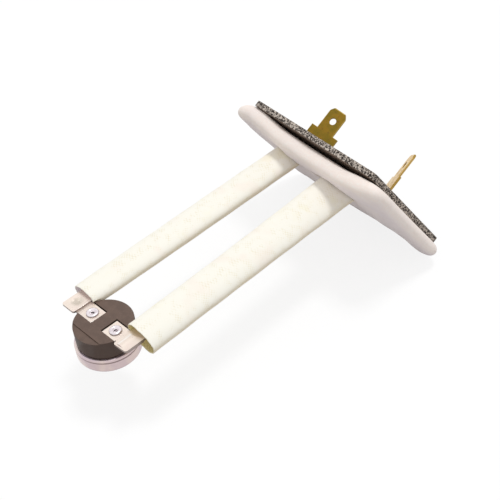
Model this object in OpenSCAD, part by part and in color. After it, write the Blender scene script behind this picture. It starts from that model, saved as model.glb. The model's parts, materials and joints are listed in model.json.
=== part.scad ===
// Stem-mounted bimetal disc thermostat: a snap-acting disc switch carried on two
// flat metal stems in woven sleeves, behind a mineral board plate with a soft fibre
// pad and two brass push-on tabs. Millimetres. The origin is the centre of the
// aluminium cup's sensing face, +Z is the thermostat's axis with the terminals on
// top, and +Y runs along the stems towards the plate.

/* [Thermostat] */
// Outside diameter of the aluminium cup
cap_d = 17; // [16.8:0.1:17.6]
// Thickness of the cup's sheet
cap_t = 0.45; // [0.35:0.05:0.5]
// Diameter of the moulded body above the crimp
body_d = 15.6; // [15.3:0.1:15.8]
// Height of the body's top face above the sensing face
body_top = 9.8; // [9.6:0.1:10.5]
// Depth of the step down to the flat along the near edge of the body's top face
flat_step = 0.3; // [0.15:0.05:0.5]
// Slope of that flat, in degrees
flat_slope = 4; // [0:1:10]
// Width of the flat terminals
terminal_w = 4.8; // [4.4:0.1:5]
// Thickness of the flat terminals
terminal_t = 0.7; // [0.5:0.1:0.8]
// Distance from the axis to the rear terminal's rivet
rear_rivet_x = 4.4; // [4.2:0.05:4.5]
// Distance from the axis to the front terminal's rivet
front_rivet_x = 4.9; // [4.8:0.05:5]

/* [Switch] */
// Dish of the bimetal disc between its rim and its centre
disc_dish = 0.38; // [0.2:0.02:0.4]
// Radius of the ceramic transfer pin
pin_r = 1; // [0.8:0.05:1.2]
// Radial clearance of the pin in its guide
pin_gap = 0.05; // [0.03:0.01:0.08]
// Thickness of the moving leaf
leaf_t = 0.2; // [0.15:0.05:0.25]

/* [Stems] */
// Width of the stem strips
strip_w = 5; // [4.6:0.1:5.2]
// Thickness of the stem strips
strip_t = 0.6; // [0.5:0.05:0.8]
// Place of the rear strip across the thermostat
rear_stem_x = -10.3; // [-10.8:0.1:-10.1]
// Place of the front strip across the thermostat
front_stem_x = 10.8; // [10.5:0.1:11.2]
// Roll of the front strip, its outer edge up, in degrees
front_roll = 6; // [0:1:8]
// Angle at which both stems climb towards the plate, in degrees
stem_rise = 1.7; // [0:0.1:3]
// Wall thickness of the woven sleeves
sleeve_wall = 0.45; // [0.4:0.05:0.6]

/* [Plate] */
// Length of the mineral board plate
plate_l = 52; // [48:0.5:56]
// Height of the mineral board plate
plate_h = 45; // [42:0.5:48]
// Thickness of the mineral board plate
plate_t = 1.8; // [1.4:0.1:2.4]
// Lean of the plate's outer face towards the terminals' side, in degrees
plate_pitch = 35.5; // [30:0.5:40]
// Turn of the plate about the thermostat's axis, in degrees
plate_yaw = -9; // [-12:0.5:0]
// Tilt of the plate's long edge, in degrees
plate_roll = -1.3; // [-3:0.1:0]
// Thickness of the fibre pad
pad_t = 5.6; // [4.6:0.2:7]
// Reach of the pad past the plate's rear end
pad_rear_over = 7.5; // [2:0.5:8]
// Reach of the pad past the plate's front end
pad_front_over = 5; // [1:0.5:6]

/* [Tabs] */
// Width of the push-on blade
tab_w = 6.3; // [6.2:0.05:6.4]
// Thickness of the push-on blade
tab_t = 0.8; // [0.7:0.05:0.85]
// Length of the blade above its shoulders
tab_l = 8; // [7.6:0.1:8.4]
// Radius of the detent hole
tab_hole_r = 1.1; // [0.8:0.05:1.2]
// Width over the shoulders
shoulder_w = 10.2; // [9:0.1:11]
// Height of the shoulders above the plate
shoulder_h = 5.8; // [4.5:0.1:6.5]
// Turn of the rear tab in the plate, in degrees
rear_tab_turn = -19; // [-30:1:0]
// Turn of the front tab in the plate, in degrees
front_tab_turn = 46; // [35:1:55]

/* [Hidden] */
$fn = 64;
eps = 0.01;

// Plate frame: x along the plate, y out of its outer face, z up its height.
plate_pos = [3.9, 89.8, 7.8];
tab_u = 15.7;
rear_tab_v = 0.6;
front_tab_v = -0.4;
foot_t = tab_t;

// Heights inside the thermostat, above the sensing face.
cap_r = cap_d / 2;
cap_in = cap_r - cap_t;
body_r = body_d / 2;
ledge_z = 0.95;
ledge_r = 6.9;
guide_z = 2.6;
flange_z = 3.75;
flange_r = cap_in - 0.1;
ceiling_z = 8;
recess_z = body_top - 0.1 - terminal_t;
terminal_top = recess_z + terminal_t;
flat_y = 5.5;
leaf_z = 5.3;
hinge_x = -2.8;
contact_x = 3.2;
shank_r = 0.9;
head_r = 1.65;
neck_r = body_r - 0.25;
neck_z = flange_z + 0.85;

// Stems: the flat lap on the terminal ends at bend_y, where the climb starts.
strip_end_y = -3.4;
bend_y = 2.4;
stem_dir = [0, cos(stem_rise), sin(stem_rise)];
function turn_z(p, a) = [p[0] * cos(a) - p[1] * sin(a), p[0] * sin(a) + p[1] * cos(a), p[2]];
function turn_y(p, a) = [p[0] * cos(a) + p[2] * sin(a), p[1], p[2] * cos(a) - p[0] * sin(a)];
plate_u = turn_z(turn_y([1, 0, 0], plate_roll), plate_yaw);
plate_n = turn_z(turn_y([0, cos(plate_pitch), sin(plate_pitch)], plate_roll), plate_yaw);
plate_v = cross(plate_u, plate_n);

// Place of a point in the plate frame.
function in_plate(p) =
    let (d = p - plate_pos) [d * plate_u, d * plate_n, d * plate_v];
// Distance along a stem from its bend to a given depth behind the outer face.
function stem_reach(x, depth) =
    (-depth - in_plate([x, bend_y, terminal_top])[1]) / (stem_dir * plate_n);
// Point of a stem at that distance.
function stem_point(x, s) = [x, bend_y, terminal_top] + s * stem_dir;

module on_plate() {
    translate(plate_pos) rotate([plate_pitch, plate_roll, plate_yaw]) children();
}

// ---- thermostat -----------------------------------------------------------

// Half section of a cup with a rounded outer bottom edge.
module cup_section(r, h, f) {
    square([r - f, h]);
    translate([0, f]) square([r, h - f]);
    translate([r - f, f]) circle(f);
}

module thermostat_cap() {
    color("silver") rotate_extrude($fn = 96) difference() {
        union() {
            cup_section(cap_r, flange_z, 0.9);
            translate([0, flange_z - eps]) square([cap_r - 0.45, 0.45 + eps]);
            translate([cap_r - 0.45, flange_z]) circle(0.45);
        }
        translate([0, cap_t]) square([ledge_r, flange_z]);
        translate([0, ledge_z]) square([cap_in, flange_z - ledge_z]);
        translate([0, flange_z - eps]) square([neck_r + 0.05, 1]);
        translate([cap_r + 0.1, flange_z - 0.42]) circle(0.22);
        translate([-2, -1]) square([2, 6]);
    }
}

// Body turned with a flange and a neck for the crimp, and a softened top edge.
module housing_turned() {
    rotate_extrude($fn = 96) {
        translate([0, guide_z]) square([flange_r, flange_z - guide_z]);
        translate([0, guide_z]) square([neck_r, neck_z + eps - guide_z]);
        translate([0, neck_z]) square([body_r, body_top - 0.2 - neck_z]);
        translate([0, body_top - 0.3]) square([body_r - 0.2, 0.3]);
        intersection() {
            translate([body_r - 0.2, body_top - 0.2]) circle(0.2);
            translate([0, neck_z]) square([body_r, body_top]);
        }
    }
}

// Open channel for one terminal, with the gap left round its inner end.
module terminal_channel(inner_x) {
    translate([inner_x, -terminal_w / 2 - 0.05, recess_z])
        cube([body_r + 1 - inner_x, terminal_w + 0.4, terminal_t + 1]);
}

module thermostat_housing() {
    color("saddlebrown") difference() {
        housing_turned();
        terminal_channel(2.05);
        translate([2.05, -2.45, ceiling_z + 0.5]) cube([0.45, 5.2, 2]);
        mirror([1, 0, 0]) terminal_channel(1.87);
        translate([-body_r, -flat_y, body_top - flat_step]) rotate([flat_slope, 0, 0])
            translate([0, -body_r, 0]) cube([body_d, body_r, 2]);
        for (x = [-rear_rivet_x, front_rivet_x]) translate([x, 0, ceiling_z - 1])
            cylinder(r = shank_r + 0.02, h = 3);
        intersection() {
            translate([0, 0, guide_z - 1]) cylinder(r = 6.75, h = ceiling_z - guide_z + 1);
            translate([-8, -2.6, 0]) cube([16, 5.2, ceiling_z]);
        }
    }
}

// Dished disc: a thin shell of revolution whose rim rests on the cup's ledge.
module bimetal_disc() {
    rim_r = 7.2;
    steps = 12;
    dish = [for (i = [0:steps]) let (r = rim_r * i / steps)
        [r, ledge_z + 0.035 - disc_dish * (1 - pow(r / rim_r, 2))]];
    color("goldenrod") rotate_extrude($fn = 96) polygon(concat(dish,
        [for (i = [steps:-1:0]) dish[i] + [0, 0.2]]));
}

module disc_guide_plate() {
    color("ivory") difference() {
        translate([0, 0, ledge_z]) cylinder(r = flange_r, h = guide_z - ledge_z);
        translate([0, 0, ledge_z - 1]) cylinder(r = 7.35, h = 1.5);
        cylinder(r = pin_r + pin_gap, h = 4);
    }
}

// Stepped ceramic pin, with the narrow nose that meets the leaf.
module transfer_pin() {
    foot_z = ledge_z + 0.035 - disc_dish + 0.2 + 0.03;
    color("white") {
        translate([0, 0, foot_z]) cylinder(r = pin_r, h = 4.6 - foot_z);
        translate([0, 0, 4.5]) cylinder(r = 0.35, h = leaf_z - 0.05 - 4.5);
    }
}

module rear_terminal() {
    color("gainsboro") difference() {
        translate([-12.4, -terminal_w / 2, recess_z]) cube([10.5, terminal_w, terminal_t]);
        translate([-rear_rivet_x, 0, 0]) cylinder(r = shank_r + 0.02, h = 12);
        translate([-2.05, -terminal_w / 2 - 1, recess_z - 1]) cube([1, 2.2, 3]);
    }
}

// The front terminal bends up outside the body, to lie flat under the rolled strip.
module front_terminal() {
    bend_x = front_stem_x - strip_w / 2;
    color("gainsboro") difference() {
        union() {
            translate([2.5, -terminal_w / 2, recess_z])
                cube([bend_x - 2.5, terminal_w, terminal_t]);
            translate([bend_x, -terminal_w / 2, terminal_top]) rotate([0, -front_roll, 0])
                translate([-0.05, 0, -terminal_t]) cube([4.6, terminal_w, terminal_t]);
        }
        translate([front_rivet_x, 0, 0]) cylinder(r = shank_r + 0.02, h = 12);
        translate([7.4, -terminal_w / 2 - 1, recess_z - 1]) cube([0.8, 1.35, 3]);
    }
}

// Rivet with a rolled head: a rounded ring round a dished, drilled middle. Its lower
// end is upset under the inner strip.
module terminal_rivet(x, grip_z) {
    roll_r = 0.38;
    color("lightsteelblue") translate([x, 0, 0]) difference() {
        union() {
            translate([0, 0, grip_z]) cylinder(r = shank_r, h = terminal_top + 0.1 - grip_z);
            translate([0, 0, grip_z - 0.3]) cylinder(r = 1.05, h = 0.3);
            translate([0, 0, terminal_top]) rotate_extrude($fn = 64) {
                square([head_r - roll_r, 0.18 + roll_r]);
                intersection() {
                    translate([head_r - roll_r, 0.18]) circle(roll_r);
                    square([2, 1]);
                }
            }
        }
        translate([0, 0, terminal_top + 0.96]) sphere(0.85);
        translate([0, 0, terminal_top - 0.4]) cylinder(r = 0.42, h = 2);
    }
}

module rear_terminal_rivet() { terminal_rivet(-rear_rivet_x, ceiling_z - 0.45); }
module front_terminal_rivet() { terminal_rivet(front_rivet_x, ceiling_z - 0.45); }

// C-shaped bar from the front rivet down to the lower contact.
module fixed_contact_bar() {
    color("peru") difference() {
        translate([0, 1.4, 0]) rotate([90, 0, 0]) linear_extrude(2.8) {
            translate([3.2, ceiling_z - 0.45]) square([3.3, 0.45]);
            translate([6.05, 3.75]) square([0.45, ceiling_z - 3.75]);
            translate([2.2, 3.75]) square([4.3, 0.45]);
        }
        translate([front_rivet_x, 0, 6]) cylinder(r = shank_r + 0.02, h = 3);
        translate([contact_x, 0, 3]) cylinder(r = 0.42, h = 1.5);
    }
}

module fixed_contact_rivet() {
    color("silver") translate([contact_x, 0, 0]) {
        translate([0, 0, 3.5]) cylinder(r = 0.7, h = 0.25);
        translate([0, 0, 3.6]) cylinder(r = 0.4, h = 0.8);
        translate([0, 0, 4.2]) cylinder(r = 0.9, h = 0.5);
    }
}

// C-shaped bracket from the rear rivet; the leaf's root is welded in its lower leg.
module contact_arm_bracket() {
    color("peru") difference() {
        translate([0, 1.4, 0]) rotate([90, 0, 0]) linear_extrude(2.8) {
            translate([-6.2, ceiling_z - 0.45]) square([3, 0.45]);
            translate([-6.2, leaf_z]) square([0.45, ceiling_z - leaf_z]);
            translate([-6.2, leaf_z]) square([6.2 + hinge_x - 0.15, 0.6]);
        }
        translate([-rear_rivet_x, 0, 6.5]) cylinder(r = shank_r + 0.02, h = 3);
    }
}

// Leaf that turns about its welded root, with the hole for its contact.
module moving_contact_arm() {
    color("darkkhaki") difference() {
        union() {
            translate([hinge_x, 1.2, leaf_z + leaf_t / 2]) rotate([90, 0, 0])
                cylinder(r = leaf_t / 2, h = 2.4);
            translate([hinge_x, -1.2, leaf_z]) cube([7.2, 2.4, leaf_t]);
        }
        translate([contact_x, 0, leaf_z - 1]) cylinder(r = 0.42, h = 3);
    }
}

module moving_contact_rivet() {
    color("silver") translate([contact_x, 0, 0]) {
        translate([0, 0, 4.72]) cylinder(r = 0.8, h = leaf_z - 4.72);
        translate([0, 0, leaf_z - 0.1]) cylinder(r = 0.4, h = leaf_t + 0.2);
        translate([0, 0, leaf_z + leaf_t]) cylinder(r = 0.65, h = 0.2);
    }
}

// ---- stems ----------------------------------------------------------------

// Outline of a strip's end, with its free corners rounded.
module strip_outline(length) {
    r = 0.7;
    translate([0, r]) square([strip_w, length - r]);
    translate([r, 0]) square([strip_w - 2 * r, length]);
    for (x = [r, strip_w - r]) translate([x, r]) circle(r);
}

// Dents of the spot welds in a strip's lap.
module weld_dents(places) {
    for (p = places) translate([p[0], p[1], strip_t + 1.38]) sphere(1.5);
}

// Low bead pressed up along a strip's lap.
module lap_bead() {
    intersection() {
        translate([0.4 * strip_w, 0.5, strip_t - 3.82]) rotate([-90, 0, 0])
            cylinder(r = 4, h = 4.4);
        translate([0, 0.5, strip_t - 0.05]) cube([strip_w, 4.4, 1]);
    }
}

// Strip with a flat lap on the terminal, a straight climb to the plate, and a toe
// turned up against the tab's foot behind the board.
module stem_strip(x, roll, tab_x, tab_v) {
    back = plate_t + foot_t + strip_t;
    reach = stem_reach(x, back + 0.3);
    lap = in_plate(stem_point(x, reach));
    toe = tab_x > 0 ? max(lap[0] + 2.4, tab_x - 1) : lap[0] + 2.4;
    heel = lap[0] - 2.4;
    color("lightgray") {
        translate([x - strip_w / 2, strip_end_y, terminal_top]) rotate([0, -roll, 0]) {
            difference() {
                linear_extrude(strip_t) strip_outline(bend_y - strip_end_y + 0.02);
                if (roll == 0) weld_dents([[1.9, 2.5], [2.9, 3.6]]);
            }
            if (roll > 0) lap_bead();
        }
        translate([x - strip_w / 2, bend_y, terminal_top]) rotate([stem_rise, 0, 0])
            rotate([0, -roll, 0]) cube([strip_w, reach, strip_t]);
        on_plate() translate([heel, -back, tab_v + 1.4])
            cube([toe - heel, strip_t, lap[2] - tab_v + 0.4]);
    }
}
module rear_stem_strip() { stem_strip(rear_stem_x, 0, -tab_u, rear_tab_v); }
module front_stem_strip() { stem_strip(front_stem_x, front_roll, tab_u, front_tab_v); }

// Woven sleeve: a flattened tube swept along the stem. Its place across the stem, its
// half width, half height and roll are given at the mouth and at the pad. They change
// from one to the other fast near the mouth if ease is below 1, slowly if it is above.
module woven_sleeve(x, drop, width, height, roll, ease, reach) {
    rings = 12;
    sides = 32;
    points = [for (wall = [0, sleeve_wall]) for (i = [0:rings])
        let (t = pow(i / rings, 1.6), s = reach * t, near = 1 - pow(t, ease),
            a = width[1] + (width[0] - width[1]) * near - wall,
            b = height[1] + (height[0] - height[1]) * near - wall,
            r = roll[1] + (roll[0] - roll[1]) * near,
            c = stem_point(x[1] + (x[0] - x[1]) * near, s) + [0, 0, drop])
        for (j = [0:sides - 1])
            let (q = 360 * j / sides,
                px = a * sign(cos(q)) * pow(abs(cos(q)), 0.8),
                pz = b * sign(sin(q)) * pow(abs(sin(q)), 0.8))
            c + [px * cos(r) - pz * sin(r), 0, px * sin(r) + pz * cos(r)]];
    count = (rings + 1) * sides;
    last = rings * sides;
    faces = concat(
        [for (i = [0:rings - 1]) for (j = [0:sides - 1])
            let (a = i * sides + j, b = i * sides + (j + 1) % sides)
            each [[a, b, b + sides], [a, b + sides, a + sides]]],
        [for (i = [0:rings - 1]) for (j = [0:sides - 1])
            let (a = count + i * sides + j, b = count + i * sides + (j + 1) % sides)
            each [[b, a, a + sides], [b, a + sides, b + sides]]],
        [for (j = [0:sides - 1]) let (k = (j + 1) % sides)
            each [[k, j, count + j], [k, count + j, count + k]]],
        [for (j = [0:sides - 1]) let (k = (j + 1) % sides)
            each [[last + j, last + k, last + count + k],
                [last + j, last + count + k, last + count + j]]]);
    color("ivory") difference() {
        polyhedron(points, faces);
        cylinder(r = body_r + 0.1, h = body_top + 0.05);
    }
}
module rear_sleeve() {
    woven_sleeve([rear_stem_x - 0.5, rear_stem_x], 0.2, [3.95, 4.65], [1.95, 2.3], [-6, -6],
        0.4, stem_reach(rear_stem_x, plate_t + 3.6));
}
module front_sleeve() {
    woven_sleeve([front_stem_x + 0.9, front_stem_x + 0.3], 0, [4.9, 5.75], [2.5, 2.6],
        [-16, -22], 2, stem_reach(front_stem_x, plate_t + 3.6));
}

// ---- plate, pad and tabs --------------------------------------------------

module board_outline(l, h, r) {
    translate([-l / 2 + r, -h / 2]) square([l - 2 * r, h]);
    translate([-l / 2, -h / 2 + r]) square([l, h - 2 * r]);
    for (sx = [-1, 1]) for (sz = [-1, 1])
        translate([sx * (l / 2 - r), sz * (h / 2 - r)]) circle(r);
}

module mounting_plate() {
    color("dimgray") on_plate() difference() {
        rotate([90, 0, 0]) linear_extrude(plate_t) board_outline(plate_l, plate_h, 1.6);
        translate([-tab_u, 0, rear_tab_v]) rotate([0, -rear_tab_turn, 0]) tab_slot();
        translate([tab_u, 0, front_tab_v]) rotate([0, -front_tab_turn, 0]) tab_slot();
    }
}

module tab_slot() {
    translate([-2.55, -plate_t - 1, -tab_t / 2 - 0.05]) cube([5.1, plate_t + 2, tab_t + 0.1]);
}

// Push-on blade with its long edges and its tip bevelled on both faces.
module tab_blade() {
    tip = shoulder_h + tab_l;
    w = tab_w / 2;
    t = tab_t / 2;
    bevel = 0.26;
    intersection() {
        translate([0, 0, -t]) linear_extrude(tab_t) polygon([[-w, shoulder_h - 1],
            [w, shoulder_h - 1], [w, tip - 1.5], [w - 1.1, tip], [1.1 - w, tip], [-w, tip - 1.5]]);
        translate([0, tip, 0]) rotate([90, 0, 0]) linear_extrude(tab_l + 1)
            polygon([[-w, bevel - t], [bevel - w, -t], [w - bevel, -t], [w, bevel - t],
                [w, t - bevel], [w - bevel, t], [bevel - w, t], [-w, t - bevel]]);
        translate([-w, 0, 0]) rotate([90, 0, 90]) linear_extrude(tab_w)
            polygon([[shoulder_h - 1, -t], [tip - bevel, -t], [tip, bevel - t],
                [tip, t - bevel], [tip - bevel, t], [shoulder_h - 1, t]]);
    }
}

// T-shaped brass tab, its shank through the board and its foot turned behind it.
module spade_tab(u, v, turn) {
    color("gold") on_plate() translate([u, 0, v]) rotate([0, -turn, 0]) difference() {
        union() {
            tab_blade();
            translate([-shoulder_w / 2, 0, -tab_t / 2]) cube([shoulder_w, shoulder_h, tab_t]);
            translate([-2.5, -plate_t - foot_t, -tab_t / 2])
                cube([5, plate_t + foot_t + 1, tab_t]);
            translate([-2.5, -plate_t - foot_t, -tab_t / 2]) cube([5, foot_t, 6]);
        }
        translate([0, shoulder_h + tab_l / 2, -1]) cylinder(r = tab_hole_r, h = 2);
    }
}
module rear_spade_tab() { spade_tab(-tab_u, rear_tab_v, rear_tab_turn); }
module front_spade_tab() { spade_tab(tab_u, front_tab_v, front_tab_turn); }

// Soft swell or hollow round a place in the pad.
function swell(x, z, cx, cz, spread) =
    exp(-((x - cx) * (x - cx) + (z - cz) * (z - cz)) / (spread * spread));
// Smooth rise from 0 at a to 1 at b.
function rise(a, b, u) = let (t = min(1, max(0, (u - a) / (b - a)))) t * t * (3 - 2 * t);

// Soft pad: rings of a rounded outline whose sides are drawn in between the corners,
// thin at the rim, fuller between the sleeves, hollowed under the front one, sagging
// away from the board along the middle of its upper edge and curling off it at the ends.
module pad_form() {
    half_h = plate_h / 2 + 1.2;
    sides = 68;
    // Each ring is [share of the outline, depth as a share of the thickness].
    rings = [[0.5, 0], [0.85, 0], [0.945, 0.015], [0.98, 0.1], [1, 0.32], [0.99, 0.58],
        [0.95, 0.76], [0.86, 0.89], [0.68, 0.98], [0.4, 1.03]];
    points = concat([[0, -plate_t - 0.02, 0]],
        [for (k = rings) for (j = [0:sides - 1])
            let (q = 360 * j / sides,
                x = sign(cos(q)) * pow(abs(cos(q)), 0.24),
                z = sign(sin(q)) * pow(abs(sin(q)), 0.24),
                half_l = plate_l / 2 + (x < 0 ? pad_rear_over : pad_front_over),
                px = half_l * x * (1 - 0.04 * (1 - z * z)) * k[0],
                pz = half_h * z * (1 - 0.12 * (1 - x * x)) * k[0],
                thick = pad_t * (1 - 0.2 * swell(px, pz, 14, -16, 12)
                    + 0.17 * swell(px, pz, -5, 14, 5) + 0.13 * swell(px, pz, 22, 4, 6)),
                sag = z > 0 ? 1.6 * z * z * rise(-24, -8, px) * (1 - rise(14, 28, px)) : 0,
                curl = 1.2 * rise(25, 32, -px) + 0.4 * rise(18, 26, px),
                away = (sag + curl) * k[0] * k[0] * k[0])
            [px, -plate_t - 0.02 - thick * k[1] - away, pz]],
        [[0, -plate_t - 0.02 - pad_t * 1.05, 0]]);
    back = len(rings) * sides + 1;
    faces = concat(
        [for (j = [0:sides - 1]) [0, 1 + j, 1 + (j + 1) % sides]],
        [for (i = [0:len(rings) - 2]) for (j = [0:sides - 1])
            let (a = 1 + i * sides + j, b = 1 + i * sides + (j + 1) % sides)
            each [[a, a + sides, b + sides], [a, b + sides, b]]],
        [for (j = [0:sides - 1]) [back, back - sides + (j + 1) % sides, back - sides + j]]);
    polyhedron(points, faces);
}

// Slit in the pad that lets one sleeve through.
module sleeve_slit(x, drop, half_w, half_h, roll) {
    translate(stem_point(x, 60) + [0, 0, drop]) rotate([90 + stem_rise, 0, 0])
        rotate([0, 0, roll]) translate([0, 0, -40]) linear_extrude(45) {
            translate([-half_w + half_h, -half_h]) square([2 * (half_w - half_h), 2 * half_h]);
            for (side = [-1, 1]) translate([side * (half_w - half_h), 0]) circle(half_h);
        }
}

// Pocket in the pad's face, over a stretch along and up the plate, for a strip's toe
// and the tab's foot.
module toe_pocket(u, v) {
    depth = foot_t + strip_t + 0.15;
    on_plate() translate([u[0], -plate_t - depth, v[0]])
        cube([u[1] - u[0], depth + 1, v[1] - v[0]]);
}

module insulation_pad() {
    color("whitesmoke") difference() {
        on_plate() pad_form();
        sleeve_slit(rear_stem_x, 0.2, 5, 2.6, -6);
        sleeve_slit(front_stem_x + 0.3, 0, 6.1, 2.9, -22);
        toe_pocket([-18.5, -10.4], [-2, 10.3]);
        toe_pocket([5.6, 18], [-2.8, 9.6]);
    }
}

mounting_plate();
insulation_pad();
rear_spade_tab();
front_spade_tab();
rear_stem_strip();
front_stem_strip();
rear_sleeve();
front_sleeve();
thermostat_housing();
thermostat_cap();
bimetal_disc();
disc_guide_plate();
transfer_pin();
rear_terminal();
front_terminal();
rear_terminal_rivet();
front_terminal_rivet();
fixed_contact_bar();
fixed_contact_rivet();
contact_arm_bracket();
moving_contact_arm();
moving_contact_rivet();
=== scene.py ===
# %% [markdown]
# # A stem-mounted disc thermostat
#
# The part is a small round switch that sits in a hot air duct at the end of two flat
# metal stems. The stems run in woven glass sleeves to a mineral board plate, which
# closes the hole in the duct, and two brass push-on tabs stand out of the far side.
# A soft fibre pad behind the board seals the hole.
#
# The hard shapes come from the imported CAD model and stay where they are. This script
# adds what a CAD solid can't say: soft edges on the metal, the weave and the thin rims of
# the sleeves, the lumpy pad with its pockets, the turned rivet heads, and a finish for
# every surface.

# %% Load the frame and keep its size
import json
import math

import bmesh
import bpy
import numpy as np
from mathutils import Matrix, Vector


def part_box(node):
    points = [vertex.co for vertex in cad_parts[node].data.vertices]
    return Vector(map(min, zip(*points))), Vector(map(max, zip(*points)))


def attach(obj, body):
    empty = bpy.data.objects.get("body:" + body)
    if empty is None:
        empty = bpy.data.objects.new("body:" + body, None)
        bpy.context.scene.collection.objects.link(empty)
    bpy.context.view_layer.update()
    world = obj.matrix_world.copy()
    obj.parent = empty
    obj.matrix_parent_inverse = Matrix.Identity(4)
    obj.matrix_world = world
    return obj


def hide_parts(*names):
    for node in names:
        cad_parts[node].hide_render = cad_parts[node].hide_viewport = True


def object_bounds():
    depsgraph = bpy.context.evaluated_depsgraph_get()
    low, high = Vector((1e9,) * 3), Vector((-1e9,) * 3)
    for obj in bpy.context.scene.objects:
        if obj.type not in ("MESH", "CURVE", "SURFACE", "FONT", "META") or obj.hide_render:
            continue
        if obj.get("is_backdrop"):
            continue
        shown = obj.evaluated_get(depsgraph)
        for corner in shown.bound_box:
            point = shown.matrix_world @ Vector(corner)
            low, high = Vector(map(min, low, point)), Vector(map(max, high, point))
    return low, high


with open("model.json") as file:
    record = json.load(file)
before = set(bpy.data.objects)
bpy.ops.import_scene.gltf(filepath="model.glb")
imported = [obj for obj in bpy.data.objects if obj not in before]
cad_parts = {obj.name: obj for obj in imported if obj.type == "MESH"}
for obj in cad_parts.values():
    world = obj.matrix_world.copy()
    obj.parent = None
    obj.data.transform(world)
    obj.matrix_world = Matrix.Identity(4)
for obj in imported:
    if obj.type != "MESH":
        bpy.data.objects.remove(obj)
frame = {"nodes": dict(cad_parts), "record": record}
cad_low, cad_high = (list(corner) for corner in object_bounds())
nodes = frame["nodes"]
mounts = {mount["name"]: mount for mount in frame["record"]["mounts"]}
MM = 0.001
print("CAD box in mm:", [round((b - a) / MM, 1) for a, b in zip(cad_low, cad_high)])

# %% [markdown]
# ## Camera
#
# The view looks down on the switch from its terminal side, with the stems running away
# to the upper right. A Blender camera looks along its own -Z axis, so the three columns
# of its rotation are its right, its up and the way back towards the eye.

# %% Camera
CAMERA_PLACE = np.array([140.18, -76.09, 163.96]) * MM
CAMERA_RIGHT = [0.7102, 0.7011, -0.0630]
CAMERA_UP = [-0.4283, 0.5015, 0.7517]
CAMERA_BACK = [0.55865, -0.50689, 0.65648]

camera_data = bpy.data.cameras.new("camera")
camera_data.sensor_width = 36
camera_data.lens = 63.12
camera_data.clip_start = 0.01
camera = bpy.data.objects.new("camera", camera_data)
bpy.context.scene.collection.objects.link(camera)
turn = np.array([CAMERA_RIGHT, CAMERA_UP, CAMERA_BACK]).T
pose = np.eye(4)
pose[:3, :3] = turn
pose[:3, 3] = CAMERA_PLACE
camera.matrix_world = Matrix(pose.tolist())
bpy.context.scene.camera = camera
print("camera stands", round(float(np.linalg.norm(CAMERA_PLACE)) / MM), "mm from the origin")

# %% [markdown]
# ## Node trees written as arithmetic
#
# A finish is a network of small nodes. Written by hand it is long and hard to read, so
# two small classes do the wiring. `Wire` holds one output socket, and the usual signs
# on it add Math nodes. `Paint` owns one material: its `node` method adds any other node
# from its type, its settings and the values or wires for its inputs.

# %% The two classes
class Wire:
    """One output socket. Arithmetic on it adds Math nodes to the same material."""

    def __init__(self, paint, socket):
        self.paint = paint
        self.socket = socket

    def math(self, operation, *values, clamp=False):
        """A Math node of that operation on the given values."""
        return self.paint.node("ShaderNodeMath", {"operation": operation, "use_clamp": clamp},
                               dict(enumerate(values)))

    def __add__(self, other):
        return self.math("ADD", self, other)

    def __sub__(self, other):
        return self.math("SUBTRACT", self, other)

    def __rsub__(self, other):
        return self.math("SUBTRACT", other, self)

    def __mul__(self, other):
        return self.math("MULTIPLY", self, other)

    def __pow__(self, other):
        return self.math("POWER", self, other)

    __radd__ = __add__
    __rmul__ = __mul__

    def sine(self):
        return self.math("SINE", self)

    def size(self):
        return self.math("ABSOLUTE", self)

    def larger(self, other):
        return self.math("MAXIMUM", self, other)

    def step(self, low, high):
        """0 below low, 1 above high and a smooth rise between them."""
        return self.paint.node(
            "ShaderNodeMapRange", {"interpolation_type": "SMOOTHSTEP"},
            {"Value": self, "From Min": low, "From Max": high, "To Min": 0.0, "To Max": 1.0})


def colour(red, green, blue):
    """A colour given as eight-bit screen values, as the linear values that shaders use."""
    share = np.array([red, green, blue]) / 255
    linear = np.where(share <= 0.04045, share / 12.92, ((share + 0.055) / 1.055) ** 2.4)
    return (*(float(x) for x in linear), 1.0)


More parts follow.
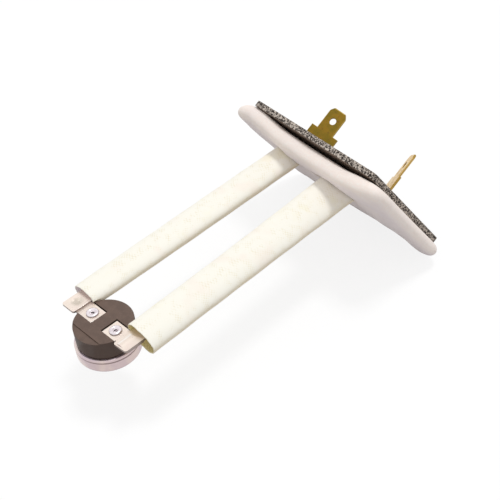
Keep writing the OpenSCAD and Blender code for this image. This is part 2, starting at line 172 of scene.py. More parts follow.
class Paint:
    """A material whose main shader takes its constants by name."""

    def __init__(self, name, **constants):
        self.material = bpy.data.materials.new(name)
        self.material.use_nodes = True
        self.tree = self.material.node_tree
        self.shader = self.tree.nodes["Principled BSDF"]
        for key, value in constants.items():
            self.shader.inputs[key.replace("_", " ")].default_value = value
        place = self.node("ShaderNodeTexCoord", {}, {}, "Object")
        self.mm = self.node("ShaderNodeMapping", {}, {"Vector": place, "Scale": (1000,) * 3})

    def node(self, kind, settings, inputs, output=0):
        """Adds a node, then its settings, then its inputs, and gives one output."""
        new = self.tree.nodes.new(kind)
        for key, value in settings.items():
            setattr(new, key, value)
        for key, value in inputs.items():
            if isinstance(value, Wire):
                self.tree.links.new(value.socket, new.inputs[key])
            else:
                new.inputs[key].default_value = value
        return Wire(self, new.outputs[output])

    def noise(self, size, detail=2.0, roughness=0.5, where=None, stretch=None, output="Fac"):
        """Cloudy noise whose blobs are about size millimetres across."""
        where = where or self.mm
        if stretch:
            where = self.node("ShaderNodeMapping", {}, {"Vector": where, "Scale": stretch})
        return self.node("ShaderNodeTexNoise", {},
                         {"Vector": where, "Scale": 1 / size, "Detail": detail,
                          "Roughness": roughness}, output)

    def cells(self, size):
        """A random grey for each of the cells round scattered points, size mm apart."""
        tint = self.node("ShaderNodeTexVoronoi", {}, {"Vector": self.mm, "Scale": 1 / size}, "Color")
        return self.node("ShaderNodeSeparateColor", {}, {0: tint}, 0)

    def facing(self, axis):
        """Cosine of the angle between the surface's own direction and an axis."""
        normal = self.node("ShaderNodeTexCoord", {}, {}, "Normal")
        return self.node("ShaderNodeVectorMath", {"operation": "DOT_PRODUCT"},
                         {0: normal, 1: tuple(float(x) for x in axis)}, "Value")

    def mix(self, share, first, second, blend="MIX"):
        """The first colour at share 0 and the second at share 1."""
        return self.node("ShaderNodeMix",
                         {"data_type": "RGBA", "blend_type": blend, "clamp_factor": True},
                         {0: share, 6: first, 7: second}, 2)

    def bump(self, height, depth, strength):
        """Relief of that depth in millimetres where height goes from 0 to 1."""
        return self.node("ShaderNodeBump", {},
                         {"Height": height, "Distance": depth * MM, "Strength": strength})

    def finish(self, **channels):
        """Links wires or sets values on the main shader's inputs by name."""
        for key, value in channels.items():
            socket = self.shader.inputs[key.replace("_", " ")]
            if isinstance(value, Wire):
                self.tree.links.new(value.socket, socket)
            else:
                socket.default_value = value
        return self.material


# %% [markdown]
# ## Meshes from arrays
#
# Each new piece is a grid of points worked out in one go: a function of two parameters.
# `skin` turns such a grid into a mesh, closes it round where asked, and links its quads
# so that their faces point outwards. `dressed` makes a copy of a hard CAD node with its
# corners broken by a narrow bevel, since no stamped or moulded edge is truly sharp.

# %% Helpers that make objects
STATIC = "stem_assembly"


def add_piece(name, mesh, material, body, slot, *stands_for):
    """Links a mesh as a piece of the object and says what it rides on and replaces."""
    piece = bpy.data.objects.new(name, mesh)
    bpy.context.scene.collection.objects.link(piece)
    piece.data.materials.clear()
    piece.data.materials.append(material)
    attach(piece, body)
    if stands_for:
        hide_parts(*stands_for)
    return piece


def skin(name, grid, caps=(False, False), ring=False, uv=None):
    """Mesh of a grid of points [row, column, xyz]. Quads join neighbours, the last column
    joins the first, and with ring the last row joins the first too. A cap closes an end
    row with one fan. The map takes its u from the column and its v from the row."""
    rows, columns = grid.shape[:2]
    index = np.arange(rows * columns).reshape(rows, columns)
    after = np.roll(index, -1, axis=1)
    quads = np.stack([index, after, np.roll(after, -1, axis=0), np.roll(index, -1, axis=0)], axis=-1)
    if not ring:
        quads = quads[:-1]
    points = grid.reshape(-1, 3)
    faces = quads.reshape(-1, 4).tolist()
    for row, wanted in ((0, caps[0]), (rows - 1, caps[1])):
        if wanted:
            centre = len(points)
            points = np.vstack([points, grid[row].mean(axis=0)])
            edge = [index[row], after[row]] if row else [after[row], index[row]]
            faces += [[int(a), int(b), centre] for a, b in zip(*edge)]
    mesh = bpy.data.meshes.new(name)
    mesh.from_pydata(points.tolist(), [], faces)
    mesh.shade_smooth()
    if uv is not None:
        layer = mesh.uv_layers.new(name="weave")
        column, row = np.meshgrid(np.arange(columns), np.arange(len(quads)))
        u = uv[0][np.stack([column, column + 1, column + 1, column], axis=-1)]
        v = uv[1][np.stack([row, row, row + 1, row + 1], axis=-1)]
        layer.data.foreach_set("uv", np.stack([u, v], axis=-1).reshape(-1).astype(np.float32))
    mesh.validate()
    return mesh


def dressed(node, material, body, slot, width, corner=35.0):
    """A copy of a CAD node with merged points, flat faces made whole, and every corner
    sharper than the given angle broken by a bevel of that width in millimetres."""
    whole = bmesh.new()
    whole.from_mesh(nodes[node].data)
    bmesh.ops.remove_doubles(whole, verts=whole.verts, dist=2e-6)
    bmesh.ops.dissolve_limit(whole, angle_limit=math.radians(0.5), verts=whole.verts, edges=whole.edges)
    mesh = bpy.data.meshes.new(node)
    whole.to_mesh(mesh)
    whole.free()
    if "custom_normal" in mesh.attributes:
        mesh.attributes.remove(mesh.attributes["custom_normal"])
    piece = add_piece(node + "_dressed", mesh, material, body, slot, node)
    mesh.shade_smooth()
    mesh.set_sharp_from_angle(angle=math.radians(corner))
    bevel = piece.modifiers.new("broken_corners", "BEVEL")
    bevel.width = width * MM
    bevel.segments = 2
    bevel.limit_method = "ANGLE"
    bevel.angle_limit = math.radians(corner)
    bevel.harden_normals = True
    print(node, "has", len(mesh.polygons), "faces before its corners are broken")
    return piece


# %% [markdown]
# ## Frames of the plate and the stems
#
# The plate leans over the stems, so its pieces are easier to describe in its own axes:
# `plate_u` along its length, `plate_n` out of its outer face and `plate_v` up its height.
# The record gives its centre and normal. Its length runs along the CAD plate's widest
# spread, which the mesh itself tells.

# %% Plate axes
plate_centre = np.array(mounts["panel_plate"]["pos_m"])
plate_n = np.array(mounts["panel_plate"]["axis"])


def points_of(node):
    """The corner points of a CAD node as one array."""
    co = np.empty(len(nodes[node].data.vertices) * 3, np.float32)
    nodes[node].data.vertices.foreach_get("co", co)
    return co.reshape(-1, 3).astype(float)


def long_edge(points, normal):
    """Direction of the longest straight edge, from the way the flat outline's box is
    smallest: every turn within the plane is tried, and the tightest box wins."""
    side = np.cross(normal, [0, 0, 1.0])
    side /= np.linalg.norm(side)
    up = np.cross(side, normal)
    angles = np.radians(np.linspace(-45, 45, 1801))
    ways = np.outer(np.cos(angles), side) + np.outer(np.sin(angles), up)
    cross = np.cross(np.broadcast_to(normal, ways.shape), ways)
    spread = np.ptp(points @ ways.T, axis=0) * np.ptp(points @ cross.T, axis=0)
    return ways[np.argmin(spread)]


plate_u = long_edge(points_of("mounting_plate"), plate_n)
plate_u *= np.sign(plate_u[0])
plate_v = np.cross(plate_u, plate_n)


def from_plate(u, n, v):
    """Points given in millimetres in the plate's axes, as points of the frame."""
    parts = [np.asarray(value)[..., None] * axis * MM
             for value, axis in ((u, plate_u), (n, plate_n), (v, plate_v))]
    return plate_centre + sum(parts)


def to_plate(points):
    """Points of the frame as millimetres along the plate's three axes."""
    return (points - plate_centre) @ np.array([plate_u, plate_n, plate_v]).T / MM


plate_low = to_plate(points_of("mounting_plate")).min(axis=0)
plate_high = to_plate(points_of("mounting_plate")).max(axis=0)
board_l, board_t, board_h = plate_high - plate_low
print("board is", [round(float(x), 2) for x in (board_l, board_h, board_t)], "mm")

# %% [markdown]
# ## Finishes
#
# The sleeves are braided glass yarn soaked in varnish. The braid is two families of
# strands that cross on the slant, each passing over and under the other. In the sleeve's
# own map, u counts strands round the tube and v counts them along it. Along u + v and
# u - v every strand is a ridge, and the product of two sines tells which family is on top.

# %% Woven glass sleeve
def braid_finish():
    paint = Paint("glass_braid", Roughness=0.62, Sheen_Weight=0.1, Sheen_Roughness=0.5)
    uv = paint.node("ShaderNodeUVMap", {"uv_map": "weave"}, {})
    wobble = paint.noise(6.0, 2, 0.5, output="Color")
    uv = paint.node("ShaderNodeMix", {"data_type": "VECTOR"},
                    {0: 0.04, 4: uv, 5: wobble}, 1)
    u = paint.node("ShaderNodeSeparateXYZ", {}, {0: uv}, 0)
    v = paint.node("ShaderNodeSeparateXYZ", {}, {0: uv}, 1)
    one, two = (u + v) * math.pi, (u - v) * math.pi
    top = one.sine() * two.sine()
    ridge_one = one.sine().size() ** 0.6
    ridge_two = two.sine().size() ** 0.6
    height = (ridge_one * (0.5 + top * 0.5)).larger(ridge_two * (0.5 - top * 0.5))
    filled = paint.noise(2.2, 3).step(0.3, 0.6) * 0.7
    height = height + filled - height * filled
    # Painted shade: the weave's valleys are darker than its ridges, as shade between the strands.
    tone = paint.mix(height.step(0.1, 0.8), colour(240, 232, 208), colour(253, 250, 239))
    blush = paint.noise(7.0, 2).step(0.5, 0.72)
    tone = paint.mix(blush * 0.5, tone, colour(252, 240, 228))
    straw = paint.noise(9.0, 3).step(0.55, 0.75)
    tone = paint.mix(straw * 0.5, tone, colour(250, 245, 214))
    # Painted shade: the underside is made warmer and darker, with fine specks in that shade.
    under = 1 - paint.facing((0, 0, 1)).step(-0.4, 0.7)
    speck = paint.noise(0.6, 2, 0.6).step(0.5, 0.72)
    tone = paint.mix(under * (0.5 + speck * 0.4), tone, colour(240, 220, 178))
    # Painted shade: inside the tube the lining is darker than the outside, khaki on the front sleeve
    # and lilac grey on the rear.
    inside = paint.node("ShaderNodeAttribute", {"attribute_name": "inside"}, {}, "Fac")
    lining = paint.mix(height.step(0.1, 0.8), colour(172, 158, 112), colour(208, 198, 160))
    across = paint.node("ShaderNodeSeparateXYZ", {}, {0: paint.mm}, 0).step(-3, 3)
    lining = paint.mix(across, colour(196, 188, 190), lining)
    tone = paint.mix(inside, tone, lining)
    # Painted light: the lining glows faintly, in place of light coming through the sleeve's wall.
    through = paint.mix(across, colour(112, 105, 106), colour(84, 76, 40))
    through = paint.mix(inside, (0.0, 0.0, 0.0, 1.0), through)
    paint.shader.inputs["Emission Strength"].default_value = 1.0
    return paint.finish(Base_Color=tone, Roughness=0.5 + height * 0.18, Emission_Color=through,
                        Normal=paint.bump(height, 0.05, 0.6))


braid = braid_finish()

# %% [markdown]
# The pad is felted ceramic fibre: matt, nearly white, with soft lumps, short fibres that lie every way,
# and a cooler painted shade on its underside, where it is deep and shaded.

# %% Fibre pad
def felt_finish():
    paint = Paint("ceramic_felt", Roughness=0.95, Sheen_Weight=0.2, Sheen_Roughness=0.6)
    paint.shader.inputs["Specular IOR Level"].default_value = 0.25
    swirl = paint.noise(3.0, 2, output="Color")
    bent = paint.node("ShaderNodeMix", {"data_type": "VECTOR"}, {0: 0.35, 4: paint.mm, 5: swirl}, 1)
    fibre = paint.noise(0.35, 4, 0.7, where=bent, stretch=(1.0, 0.25, 1.0))
    cross = paint.noise(0.35, 4, 0.7, where=bent, stretch=(0.25, 1.0, 1.0))
    hairs = fibre.larger(cross)
    tone = paint.mix(hairs.step(0.45, 0.7), colour(254, 240, 231), colour(255, 247, 240))
    cloud = paint.noise(7.0, 2).step(0.45, 0.7)
    tone = paint.mix(cloud * 0.3, tone, colour(248, 236, 234))
    # Painted shade: the underside is tinted cooler and darker.
    under = 1 - paint.facing((0, 0, 1)).step(-0.75, -0.1)
    tone = paint.mix(under * 0.7, tone, colour(240, 228, 234))
    return paint.finish(Base_Color=tone, Normal=paint.bump(hairs, 0.1, 0.5))


felt = felt_finish()

# %% [markdown]
# The board is pressed mineral flakes in a dark binder. Its faces are pressed smooth and
# dark, and its cut edges show the flakes as pale and dark grains. The direction of the
# surface tells one from the other: an edge faces across the board's normal.

# %% Mineral board
def board_finish():
    paint = Paint("mineral_board", Roughness=0.8)
    edge = 1 - paint.facing(plate_n).size().step(0.55, 0.9)
    flake = paint.cells(0.34)
    grain = paint.noise(0.3, 2, 0.6)
    patch = paint.noise(4.0, 2)
    pale = (flake * 0.5 + grain * 0.6 + patch * 0.25).step(0.6, 0.78)
    cut = paint.mix(pale, colour(52, 42, 36), colour(206, 194, 182))
    pit = paint.noise(0.5, 2, 0.6).step(0.56, 0.64)
    cut = paint.mix(pit, cut, colour(26, 20, 17))
    cloud = paint.noise(1.6, 4, 0.6).step(0.35, 0.75)
    face = paint.mix(cloud, colour(104, 88, 76), colour(138, 118, 102))
    face = paint.mix(pale * 0.3, face, colour(140, 125, 112))
    tone = paint.mix(edge, face, cut)
    relief = pale * 0.6 + (1 - pit) * 0.8
    return paint.finish(Base_Color=tone, Roughness=0.62 + edge * 0.28,
                        Normal=paint.bump(relief, 0.09, 0.5))


board = board_finish()

# %% [markdown]
# Brass that has stood in a warm place goes from bright gold to a mottled olive brown. The tint is a
# thin film, so it shows as soft clouds. Plugs rub it off the broken corners of the blade, which are
# neither square to its broad face nor along it, and these corners are also painted lighter as a
# highlight. The broad faces and the sheared edges of each tab get their own tones, painted light and
# shade for how each is lit.

# %% Tarnished brass
def brass_finish(name, broad, face, cloudy, edge, rubbed_and_highlit):
    """Tone of the broad faces, their clouds, the sheared edges and the corners. The face and edge tones
    are painted light and shade, and the corner tone is wear with a painted highlight.
    """
    paint = Paint(name, Metallic=0.85)
    along = paint.facing(broad).size()
    cloud = paint.noise(2.6, 3, 0.55).step(0.35, 0.68)
    fine = paint.noise(0.35, 2, 0.6)
    tone = paint.mix(cloud, face, cloudy)
    spot = paint.noise(0.9, 2).step(0.62, 0.7)
    tone = paint.mix(spot * 0.5, tone, colour(112, 72, 44))
    # Painted light and shade: the sheared edges and the broad faces take their own tones for how each
    # is lit, and the broken corners are lighter, partly wear and partly a painted highlight.
    tone = paint.mix(along.step(0.5, 0.8), edge, tone)
    corner = along.step(0.25, 0.6) * (1 - along.step(0.85, 0.97))
    tone = paint.mix(corner * 0.8, tone, rubbed_and_highlit)
    tone = paint.mix(fine.step(0.55, 0.75) * 0.2, tone, colour(96, 72, 22))
    return paint.finish(Base_Color=tone, Roughness=0.36 + cloud * 0.16 + fine * 0.08,
                        Normal=paint.bump(fine, 0.012, 0.5))


def broad_side(turn):
    """Direction of a tab's broad face, from the tab's turn in the plate, in degrees."""
    angle = math.radians(turn)
    return plate_v * math.cos(angle) - plate_u * math.sin(angle)


# Painted shade and light: the rear tab's darker olive is partly tarnish and partly painted shade, and
# the front tab's paler gold is painted light.
shaded_dull_brass = brass_finish("tarnished_brass_painted_shade", broad_side(-19), colour(124, 104, 32),
                          colour(146, 114, 36), colour(150, 118, 48), colour(186, 160, 84))
lit_bright_brass = brass_finish("lit_bright_brass", broad_side(46), colour(240, 214, 168),
                            colour(226, 196, 146), colour(170, 138, 70), colour(214, 184, 124))
spring_brass = brass_finish("contact_brass", (0, 0, 1), colour(200, 156, 88),
                            colour(214, 176, 110), colour(188, 142, 76), colour(226, 190, 126))

# %% [markdown]
# The stems and terminals are steel with a soft pale plating. Their rolled faces are bright, their
# sheared edges are painted grey as shade, and the corner between the two is painted bright as a
# highlight. The spot welds in the rear lap have burnt the plating to a greenish grey.

# %% Plated strip
def strip_finish():
    paint = Paint("plated_strip", Metallic=0.75)
    up = paint.facing((0, 0, 1)).size()
    streak = paint.noise(0.3, 2, 0.5, stretch=(1.0, 0.06, 1.0))
    cloud = paint.noise(1.6, 3).step(0.4, 0.7)
    tone = paint.mix(cloud * 0.6, colour(240, 226, 214), colour(228, 212, 204))
    tone = paint.mix(streak.step(0.45, 0.65) * 0.25, tone, colour(250, 242, 232))
    burn = paint.node("ShaderNodeVectorMath", {"operation": "DISTANCE"},
                      {0: paint.mm, 1: (-10.2, -0.3, 10.3)}, "Value")
    burn = 1 - (burn + paint.noise(0.8, 2) * 1.2).step(1.4, 2.6)
    tone = paint.mix(burn * 0.4, tone, colour(158, 152, 130))
    # Painted shade: the side faces are darker grey. Painted highlight: the corner between side and top
    # is near white.
    tone = paint.mix(up.step(0.5, 0.85), colour(158, 144, 138), tone)
    corner = up.step(0.7, 0.85) * (1 - up.step(0.95, 0.99))
    tone = paint.mix(corner, tone, colour(255, 252, 248))
    speck = paint.noise(0.45, 2).step(0.7, 0.76)
    tone = paint.mix(speck * 0.4, tone, colour(160, 150, 136))
    return paint.finish(Base_Color=tone, Roughness=0.34 + cloud * 0.14,
                        Normal=paint.bump(streak, 0.008, 0.4))


strip_metal = strip_finish()


# %% Rivet steel
def rivet_finish():
    paint = Paint("rivet_plating", Metallic=0.95)
    wear = paint.noise(0.5, 3).step(0.45, 0.7)
    tone = paint.mix(wear, colour(240, 232, 236), colour(214, 204, 208))
    # Painted shade: the sides of the head are darkened, as the shadow round and under its rim.
    side = 1 - paint.facing((0, 0, 1)).size().step(0.15, 0.6)
    tone = paint.mix(side * 0.9, tone, colour(78, 64, 60))
    return paint.finish(Base_Color=tone, Roughness=0.18 + wear * 0.2,
                        Normal=paint.bump(paint.noise(0.4, 2), 0.02, 0.4))


rivet_metal = rivet_finish()

# %% [markdown]
# The cup is thin drawn aluminium. Drawing and rolling leave fine lines round it, so the noise is
# stretched flat: long round the axis and short along it. Broad warm and cool bands, painted in as
# reflections, run up and down its wall. The wall is also painted darker as shade in the groove, at the
# foot and on the side turned towards +x.

# %% Drawn aluminium
def cup_finish():
    paint = Paint("drawn_aluminium", Metallic=0.9)
    rings = paint.noise(0.5, 3, 0.6, stretch=(0.05, 0.05, 6.0))
    # Painted reflections: broad warm and cool bands up and down the wall.
    painted_reflection = paint.noise(3.2, 2, 0.5, stretch=(1.0, 1.0, 0.35)).step(0.4, 0.62)
    tone = paint.mix(rings.step(0.4, 0.65), colour(222, 206, 202), colour(240, 226, 220))
    tone = paint.mix(painted_reflection * 0.7, tone, colour(204, 188, 206))
    high = paint.node("ShaderNodeSeparateXYZ", {}, {0: paint.mm}, 2)
    # Painted shade: the wall is darker in the groove, at the foot and on the side turned towards +x,
    # and the groove is darkest on that side.
    groove = 1 - (high - 3.33).size().step(0.08, 0.3)
    foot = 1 - high.step(0.3, 1.1)
    turned = paint.facing((0.94, -0.34, 0)).step(-0.2, 0.9)
    tone = paint.mix(turned * 0.6, tone, colour(206, 184, 178))
    tone = paint.mix(foot * 0.6, tone, colour(186, 172, 178))
    tone = paint.mix(groove * (0.25 + turned * 0.6), tone, colour(120, 100, 96))
    return paint.finish(Base_Color=tone, Roughness=0.3 + painted_reflection * 0.12,
                        Normal=paint.bump(rings, 0.008, 0.5))


cup_metal = cup_finish()

# %% [markdown]
# The body is brown phenolic moulding: an even colour with fine dark and pale specks of its wood-flour
# filler, a low sheen, and a slightly rippled face from the mould. Its sides are painted darker as
# shade.

# %% Phenolic moulding
def phenolic_finish():
    paint = Paint("phenolic")
    paint.shader.inputs["Specular IOR Level"].default_value = 0.3
    cloud = paint.noise(2.4, 3).step(0.35, 0.7)
    tone = paint.mix(cloud, colour(98, 80, 71), colour(108, 89, 79))
    dark = paint.noise(0.22, 2, 0.6).step(0.6, 0.72)
    tone = paint.mix(dark * 0.4, tone, colour(70, 56, 49))
    pale = paint.noise(0.3, 1, 0.5, stretch=(1.0, 0.5, 1.0)).step(0.7, 0.76)
    tone = paint.mix(pale * 0.3, tone, colour(140, 122, 110))
    # Painted shade: the moulding's sides are darker than its top.
    side = 1 - paint.facing((0, 0, 1)).step(0.3, 0.9)
    tone = paint.mix(side * 0.8, tone, colour(72, 55, 47))
    ripple = paint.noise(1.2, 3, 0.55)
    return paint.finish(Base_Color=tone, Roughness=0.46 + cloud * 0.14,
                        Normal=paint.bump(ripple, 0.02, 0.5))


phenolic = phenolic_finish()


# %% Finishes of the inner pieces
def ceramic_finish():
    paint = Paint("fired_ceramic", Roughness=0.6)
    grain = paint.noise(0.2, 3, 0.6)
    tone = paint.mix(grain.step(0.4, 0.7), colour(226, 220, 206), colour(240, 236, 226))
    return paint.finish(Base_Color=tone, Normal=paint.bump(grain, 0.01, 0.4))


def bimetal_finish():
    paint = Paint("rolled_bimetal", Metallic=0.9)
    streak = paint.noise(0.3, 3, 0.6, stretch=(0.08, 1.0, 1.0))
    tone = paint.mix(streak.step(0.4, 0.65), colour(196, 182, 150), colour(218, 206, 178))
    return paint.finish(Base_Color=tone, Roughness=0.3 + streak * 0.15,
                        Normal=paint.bump(streak, 0.008, 0.5))


ceramic = ceramic_finish()
bimetal = bimetal_finish()
inner = {"disc_guide_plate": ceramic, "transfer_pin": ceramic, "bimetal_disc": bimetal,
         "fixed_contact_bar": spring_brass, "contact_arm_bracket": spring_brass,
         "moving_contact_arm": spring_brass, "fixed_contact_rivet": rivet_metal,
         "moving_contact_rivet": rivet_metal}
for name, material in inner.items():
    nodes[name].data.materials.clear()
    nodes[name].data.materials.append(material)
print("finishes made:", len(bpy.data.materials))

# %% [markdown]
# ## Hard pieces with soft edges

# %% Housing, cup, strips, terminals, tabs and board
dressed("thermostat_housing", phenolic, STATIC, "phenolic", 0.1)
dressed("thermostat_cap", cup_metal, STATIC, "cup_aluminium", 0.06)
for side in ("rear", "front"):
    dressed(side + "_stem_strip", strip_metal, STATIC, "stem_steel", 0.12)
    dressed(side + "_terminal", strip_metal, STATIC, "stem_steel", 0.08)
dressed("rear_spade_tab", shaded_dull_brass, STATIC, "tab_brass", 0.12)
dressed("front_spade_tab", lit_bright_brass, STATIC, "tab_brass", 0.12)
dressed("mounting_plate", board, STATIC, "mineral_board", 0.15)

# %% [markdown]
# ## Rivet heads
#
# A tubular rivet is closed by rolling its wall outwards, which leaves a round shoulder
# and a rough dimple in the middle. The profile below runs from the centre of the dimple
# over the shoulder and down to the terminal, and is carried round the rivet's axis.

# %% Rivets
TERMINAL_TOP = 9.7


def path_through(points, count):
    """A smooth line through the given points: each stretch is a cubic whose slope at a
    point follows its two neighbours."""
    points = np.asarray(points, float)
    ends = np.vstack([2 * points[0] - points[1], points, 2 * points[-1] - points[-2]])
    place = np.linspace(0, len(points) - 1, count)
    i = np.minimum(place.astype(int), len(points) - 2)
    t = (place - i)[:, None]
    a, b, c, d = (ends[i + k] for k in range(4))
    return 0.5 * (2 * b + (c - a) * t + (2 * a - 5 * b + 4 * c - d) * t ** 2
                  + (3 * b - a - 3 * c + d) * t ** 3)


def rise(low, high, value):
    """0 below low, 1 above high and the smooth cubic t t (3 - 2 t) between them."""
    t = np.clip((value - low) / (high - low), 0, 1)
    return t * t * (3 - 2 * t)


def rivet(side):
    """Closed turned form: radius and height of the profile carried round the axis, with
    the dimple's wall pushed about by two waves, as a punch leaves it."""
    low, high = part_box(side + "_terminal_rivet")
    x = (low.x + high.x) / 2 / MM
    foot = low.z / MM - TERMINAL_TOP
    head = path_through([[0.02, -0.38], [0.3, -0.37], [0.4, -0.28], [0.45, 0.06], [0.6, 0.2],
                         [0.76, 0.4], [0.95, 0.53], [1.2, 0.57], [1.45, 0.5], [1.62, 0.32],
                         [1.65, 0.16], [1.6, 0.02]], 80)
    shank = [[0.9, 0.0], [0.9, foot + 0.3], [1.05, foot + 0.3], [1.05, foot], [0.02, foot]]
    radius, height = np.vstack([head, shank]).T[:, :, None]
    angle = np.linspace(0, 2 * math.pi, 72, endpoint=False)
    wave = np.sin(3 * angle + 0.7) + 0.6 * np.sin(5 * angle + 2.0)
    dent = np.exp(-((radius - 0.62) / 0.2) ** 2) * 0.04 * (height > -0.1)
    grid = np.stack([x + radius * np.cos(angle), radius * np.sin(angle),
                     TERMINAL_TOP + height + dent * wave], axis=-1) * MM
    mesh = skin(side + "_rivet", grid[::-1], caps=(True, True))
    add_piece(side + "_rivet_turned", mesh, rivet_metal, STATIC, "rivet_steel",
              side + "_terminal_rivet")


rivet("rear")
rivet("front")

# %% [markdown]
# ## Sleeves
#
# A sleeve is a round braided tube pressed flat round its strip. Its section is a
# flattened oval with full sides. Its size, roll and place go from those at the open mouth
# to those at the pad, and its centre line climbs a little. The wall has thickness, so the
# mouth shows an inner face, and its cut rim is pressed thin. Beside the moulded body the
# sleeve is pushed aside, and slow waves keep it from looking machined.

# %% Sleeves
STEM_RISE = math.radians(1.7)
BEND_Y = 2.4
BODY_R = 7.8
BODY_TOP = 9.8
SLEEVE_WALL = 0.45
BRAID_PITCH = 0.85
# Pairs give a value at the mouth and one at the pad: place across the part, half width,
# half height and roll in degrees.
SLEEVES = {
    "rear": {"x": (-10.8, -10.3), "drop": 0.2, "width": (3.95, 4.65), "height": (1.95, 2.3),
             "roll": (-6, -6), "ease": 0.4, "strands": 28},
    "front": {"x": (11.7, 11.1), "drop": 0.0, "width": (4.9, 5.75), "height": (2.5, 2.6),
              "roll": (-16, -22), "ease": 2.0, "strands": 32}}


def sleeve(side, x, drop, width, height, roll, ease, strands):
    """Tube on two parameters: q round the section and s along the stem. A point is the
    stem's centre plus the rolled oval (a cos q, b sin q), each raised to the power 0.8.
    Each size goes from its mouth value to its pad value with (s / length) ** ease."""
    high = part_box(side + "_sleeve")[1].y / MM
    length = (high - BEND_Y) / math.cos(STEM_RISE)
    rings, sides = 170, 96
    s = length * np.linspace(0, 1, rings)[:, None] ** 1.2
    q = np.linspace(0, 2 * math.pi, sides, endpoint=False)
    share = (s / length) ** ease
    x_mid, a, b, angle = (first + (last - first) * share
                          for first, last in (x, width, height, np.radians(roll)))
    rim = np.exp(-s / 0.9)
    wave = 0.05 * np.sin(s * 0.21 + 1.0) * np.sin(q + 0.5)
    wave = wave + 0.035 * np.sin(s * 0.47 + 2 * x[1]) * np.cos(2 * q)
    along = s + (0.04 * np.sin(7 * q + x[1]) + 0.03 * np.sin(17 * q)) * rim
    sheets = []
    for wall in (0 * s, SLEEVE_WALL * (1 - 0.45 * rim)):
        px = (a - wall + wave) * np.sign(np.cos(q)) * np.abs(np.cos(q)) ** 0.8
        pz = (b - wall + wave) * np.sign(np.sin(q)) * np.abs(np.sin(q)) ** 0.8
        grid = np.stack([x_mid + px * np.cos(angle) - pz * np.sin(angle),
                         BEND_Y + along * math.cos(STEM_RISE),
                         TERMINAL_TOP + drop + along * math.sin(STEM_RISE)
                         + px * np.sin(angle) + pz * np.cos(angle)], axis=-1)
        radius = np.hypot(grid[..., 0], grid[..., 1])
        beside = 1 - rise(BODY_TOP, BODY_TOP + 0.5, grid[..., 2])
        short = np.clip((BODY_R + 0.2 + wall) / radius - 1, 0, 1) * beside
        grid[..., :2] *= 1 + short[..., None]
        sheets.append(grid)
    outer, lining = sheets
    mouth, tail = (outer[:1] + lining[:1]) / 2, (outer[-1:] + lining[-1:]) / 2
    grid = np.concatenate([outer, tail, lining[::-1], mouth - [0, 0.1, 0]]) * MM
    s = s[:, 0]
    rows = np.concatenate([s, [length + 0.3], 2 * length + 0.6 - s[::-1], [2 * length + 0.9],
                           [2 * length + 1.2]])
    mesh = skin(side + "_sleeve", grid[::-1], ring=True,
                uv=(np.arange(sides + 1) * strands / sides, rows[::-1] / BRAID_PITCH))
    inside = np.concatenate([0 * s, [0.5], 0 * s + 1, [0.2]])[::-1]
    mark = mesh.attributes.new("inside", "FLOAT", "POINT")
    mark.data.foreach_set("value", np.repeat(inside, sides).astype(np.float32))
    add_piece(side + "_sleeve_woven", mesh, braid, STATIC, "glass_sleeve", side + "_sleeve")
    print(side, "sleeve is", round(length, 1), "mm long with", len(mesh.polygons), "faces")


for side, shape in SLEEVES.items():
    sleeve(side, **shape)

# %% [markdown]
# ## Pad
#
# The pad is a soft blanket behind the board. Its outline is a rounded oblong whose sides
# are drawn in between the corners, and its rim is thin and round. It is fuller between
# the sleeves and hollow under the front one, sags off the board along the middle of its
# upper edge and curls off it at the ends.
#
# Each sleeve sits in a pocket of the pad. Seen along the stem, the pocket is the sleeve's
# oval with a little room round it. Points of the felt just outside the oval are its lip,
# points just inside are drawn to the oval and pushed down the stem, which makes the
# wall, and points further in make the floor.

# %% Pad
PAD_THICK = 5.6
PAD_OVER = (7.5, 5.0)
TOE_DEPTH = 1.55
POCKET_FLOOR = -board_t - TOE_DEPTH - 0.2
# Room between a sleeve and its pocket's lip and wall, and the two distances inside the
# sleeve's oval where the wall's points are taken from.
LIP_ROOM, WALL_ROOM = 0.4, 0.34
WALL_FROM, WALL_TO = -0.45, -1.2
# Room for the strips' toes and the tabs' feet: low and high along, low and high up.
TOE_POCKETS = [(-18.5, -10.4, -2, 10.3), (5.6, 18, -2.8, 9.6)]
PAD_PROFILE = [(0.02, 0), (0.3, 0), (0.58, 0), (0.85, 0), (0.945, 0.015), (0.98, 0.1), (1, 0.32),
               (0.99, 0.58), (0.95, 0.76), (0.86, 0.89), (0.68, 0.98), (0.45, 1.03), (0.22, 1.05),
               (0.02, 1.05)]
STEM_DIR = np.array([0, math.cos(STEM_RISE), math.sin(STEM_RISE)])


def hump(x, z, at_x, at_z, spread):
    """A round swell: 1 at its middle, fading with the square of the distance."""
    return np.exp(-((x - at_x) ** 2 + (z - at_z) ** 2) / spread ** 2)


def off_stem(points, x, drop, roll):
    """Places across and above a stem's centre line, turned by the sleeve's roll."""
    angle = math.radians(roll)
    side = points[..., 0] / MM - x
    lift = (points[..., 2] / MM - TERMINAL_TOP - drop
            - (points[..., 1] / MM - BEND_Y) * math.tan(STEM_RISE))
    return (side * math.cos(angle) + lift * math.sin(angle),
            lift * math.cos(angle) - side * math.sin(angle))


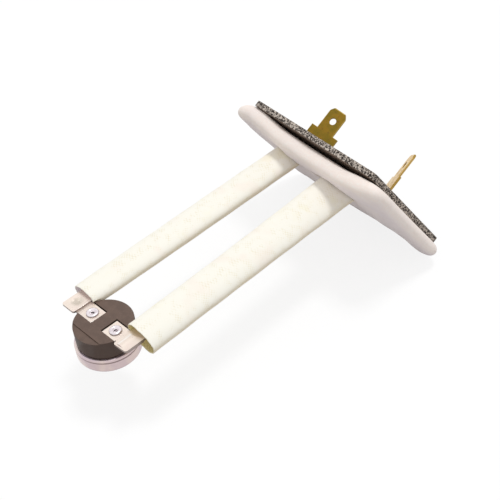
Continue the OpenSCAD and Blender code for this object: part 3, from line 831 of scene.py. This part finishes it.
def pocket(u, n, v, drop, x, half_w, half_h, roll):
    """Opens the pocket of one sleeve in points given in millimetres in the plate's axes.
    Points are moved round the stem in a few rounds, since each move keeps their depth."""
    angle = math.radians(roll)

    def section():
        """Places round the stem, and the share of the oval's radius that they lie at."""
        across, above = off_stem(from_plate(u, n, v), x, drop, roll)
        return across, above, np.sqrt((across / half_w) ** 2 + (above / half_h) ** 2)

    start = (section()[2] - 1) * half_h
    deep = start <= WALL_FROM
    wall = deep & (start > WALL_TO)
    lip = ~deep & (start < LIP_ROOM)
    for _ in range(4):
        across, above, ratio = section()
        gap = (ratio - 1) * half_h
        wanted = np.where(lip, LIP_ROOM, np.where(wall, WALL_ROOM, gap)) / half_h + 1
        stretch = np.where(lip | wall, wanted / np.maximum(ratio, 0.1) - 1, 0)
        move = np.stack([across * math.cos(angle) - above * math.sin(angle), 0 * across,
                         across * math.sin(angle) + above * math.cos(angle)], axis=-1)
        points = from_plate(u, n, v) + move * stretch[..., None] * MM
        u, v = np.moveaxis(to_plate(points)[..., ::2], -1, 0)
    n = n + 0.45 * np.exp(-(np.clip(gap - LIP_ROOM, 0, 9) / 0.5) ** 2) * ~deep
    far = np.where(deep, (POCKET_FLOOR - n) / (STEM_DIR @ plate_n), 0)
    return tuple(place + far * (STEM_DIR @ axis)
                 for place, axis in ((u, plate_u), (n, plate_n), (v, plate_v)))


def pad_mesh():
    """Closed form on two parameters: q round the outline and the place along the profile
    that runs from the middle of the board side over the rim to the middle of the back."""
    share, depth = path_through(PAD_PROFILE, 264).T[:, :, None]
    q = np.linspace(0, 2 * math.pi, 340, endpoint=False)
    x = np.sign(np.cos(q)) * np.abs(np.cos(q)) ** 0.24
    z = np.sign(np.sin(q)) * np.abs(np.sin(q)) ** 0.24
    half_l = board_l / 2 + np.where(x < 0, *PAD_OVER)
    half_h = board_h / 2 + 1.2
    u = half_l * x * (1 - 0.04 * (1 - z * z)) * share
    v = half_h * z * (1 - 0.12 * (1 - x * x)) * share
    thick = PAD_THICK * (1 - 0.2 * hump(u, v, 14, -16, 12) + 0.17 * hump(u, v, -5, 14, 5)
                         + 0.13 * hump(u, v, 22, 4, 6))
    sag = 1.6 * np.clip(z, 0, 1) ** 2 * rise(-24, -8, u) * (1 - rise(14, 28, u))
    curl = 1.2 * rise(25, 32, -u) + 0.4 * rise(18, 26, u)
    n = -board_t - 0.02 - thick * depth - (sag + curl) * share ** 3
    lumps = (np.sin(u * 0.31 + 1) * np.sin(v * 0.27 + 2) + 0.6 * np.sin(u * 0.7 + v * 0.5)
             + 0.4 * np.sin(v * 0.9 - u * 0.3))
    n = n - 0.12 * lumps * np.clip(depth, 0, 1)
    for low_u, high_u, low_v, high_v in TOE_POCKETS:
        toe = (rise(low_u - 0.5, low_u, u) * (1 - rise(high_u, high_u + 0.5, u))
               * rise(low_v - 0.5, low_v, v) * (1 - rise(high_v, high_v + 0.5, v)))
        n = n - TOE_DEPTH * toe * (depth < 0.01)
    back = np.broadcast_to(depth > 0.6, n.shape)
    for shape in SLEEVES.values():
        opened = pocket(u, n, v, shape["drop"],
                        *(shape[key][1] for key in ("x", "width", "height", "roll")))
        u, n, v = (np.where(back, new, old) for new, old in zip(opened, (u, n, v)))
    return skin("pad", from_plate(u, n, v), caps=(True, True))


pad = add_piece("fibre_pad", pad_mesh(), felt, STATIC, "fibre_pad", "insulation_pad")
print("pad has", len(pad.data.polygons), "faces")

# %% [markdown]
# ## Floor and light
#
# The part stands over a pale floor. A soft lamp hangs above it and a little past the
# plate, so that the plate's leaning edge throws its shadow a short way down the sleeves.
# An even sky fills the rest. The camera and reflections see both sky and floor nearly
# white, but each gives less than that to the object, so that the shadows stay.

# %% Floor
floor_z = cad_low[2] - 0.001
reach = 3.0
corners = [(x * reach, y * reach, floor_z) for x, y in ((-1, -1), (1, -1), (1, 1), (-1, 1))]
floor_mesh = bpy.data.meshes.new("floor")
floor_mesh.from_pydata(corners, [], [(0, 1, 2, 3)])
floor = bpy.data.objects.new("floor", floor_mesh)
bpy.context.scene.collection.objects.link(floor)
floor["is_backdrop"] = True


def floor_finish():
    """A matt floor. Camera and glossy rays see it partly as plain white light, so that it
    comes out white and the shadow on it stays faint."""
    paint = Paint("floor")
    seen = paint.node("ShaderNodeLightPath", {}, {}, "Is Camera Ray")
    glossy = paint.node("ShaderNodeLightPath", {}, {}, "Is Glossy Ray")
    matt = paint.node("ShaderNodeBsdfDiffuse", {}, {"Color": (0.55, 0.55, 0.55, 1)})
    glow = paint.node("ShaderNodeEmission", {}, {"Color": (1, 1, 1, 1), "Strength": 1.3})
    both = paint.node("ShaderNodeMixShader", {}, {0: seen.larger(glossy) * 0.62, 1: matt, 2: glow})
    paint.tree.links.new(both.socket, paint.tree.nodes["Material Output"].inputs["Surface"])
    paint.tree.nodes.remove(paint.shader)
    return paint.material


floor_mesh.materials.append(floor_finish())

# %% Light
world = bpy.data.worlds.new("studio")
bpy.context.scene.world = world
world.use_nodes = True
tree = world.node_tree
path = tree.nodes.new("ShaderNodeLightPath")
seen = tree.nodes.new("ShaderNodeMath")
seen.operation = "MAXIMUM"
tree.links.new(path.outputs["Is Camera Ray"], seen.inputs[0])
tree.links.new(path.outputs["Is Glossy Ray"], seen.inputs[1])
level = tree.nodes.new("ShaderNodeMapRange")
level.inputs["To Min"].default_value = 0.68
level.inputs["To Max"].default_value = 1.0
tree.links.new(seen.outputs[0], level.inputs["Value"])
tree.links.new(level.outputs[0], tree.nodes["Background"].inputs["Strength"])
tree.nodes["Background"].inputs["Color"].default_value = (1, 1, 1, 1)


def lamp(name, place, aim, size, power):
    """A square area lamp at a place, turned to face a point."""
    data = bpy.data.lights.new(name, "AREA")
    data.size = size
    data.energy = power
    made = bpy.data.objects.new(name, data)
    bpy.context.scene.collection.objects.link(made)
    made.location = place
    made.rotation_euler = (Vector(aim) - Vector(place)).to_track_quat("-Z", "Y").to_euler()


lamp("overhead", (0.05, 0.3, 1.2), (0, 0.05, 0), 0.25, 5.2)

bpy.context.scene.view_settings.view_transform = "Standard"
